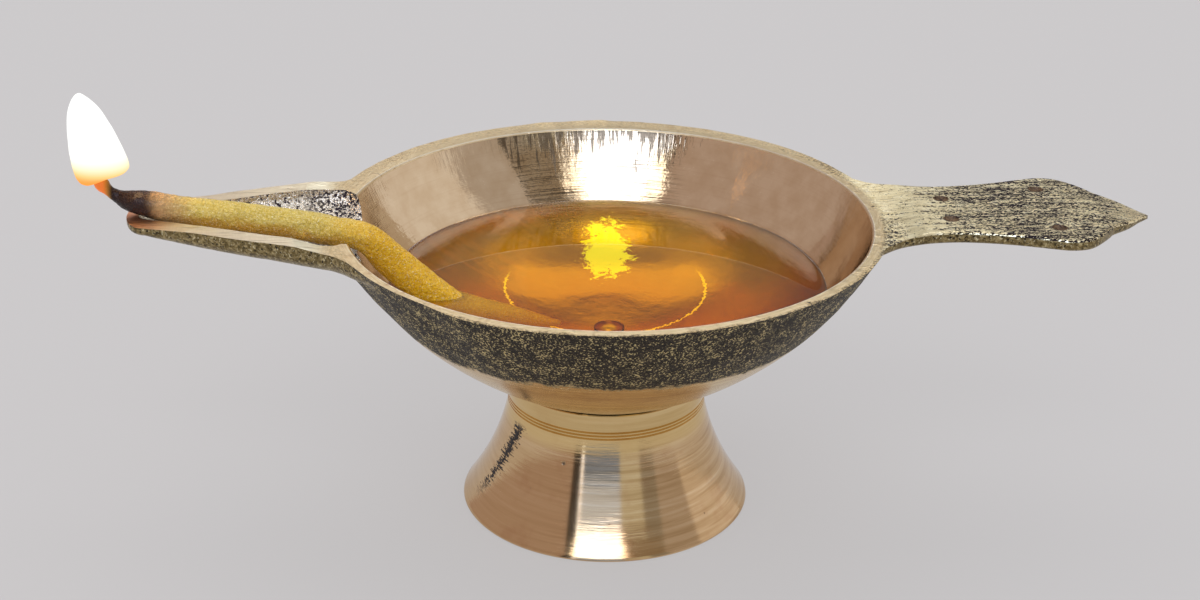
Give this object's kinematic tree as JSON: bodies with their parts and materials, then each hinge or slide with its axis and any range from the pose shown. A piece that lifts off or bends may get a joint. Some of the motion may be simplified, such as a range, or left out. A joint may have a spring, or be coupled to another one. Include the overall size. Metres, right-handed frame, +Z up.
{
  "type": "table oil lamp",
  "caption": "Brass diya: a shallow oil bowl on a flared foot, with a wick spout, a flat ogee-ended handle, oil, and a lit cotton wick that lifts out.",
  "frame": {"origin": "on the surface the lamp stands on, on the axis that the bowl and the foot are turned about", "axes": "+X from the axis out along the handle (the spout and wick point along -X), +Y to the far side of the lamp, +Z up"},
  "size_m": [0.1716, 0.09, 0.0699],
  "materials": {
    "cast_brass": "satin",
    "turned_brass": "polished",
    "rivet_brass": "satin",
    "lamp_oil": "gloss",
    "wick_cotton": "matte",
    "flame": "matte"
  },
  "bodies": {
    "lamp": {"bowl": "cast_brass", "pedestal_foot": "turned_brass", "foot_rivet": "rivet_brass", "rivet_washer": "rivet_brass", "oil": "lamp_oil"},
    "wick": {"wick": "wick_cotton", "flame": "flame"}
  },
  "joints": [
    {"name": "wick_lift", "type": "slide", "parent": "lamp", "child": "wick", "axis": [0, 0, 1], "range_m": [0, 0.045], "deforming": ["oil"]}
  ]
}
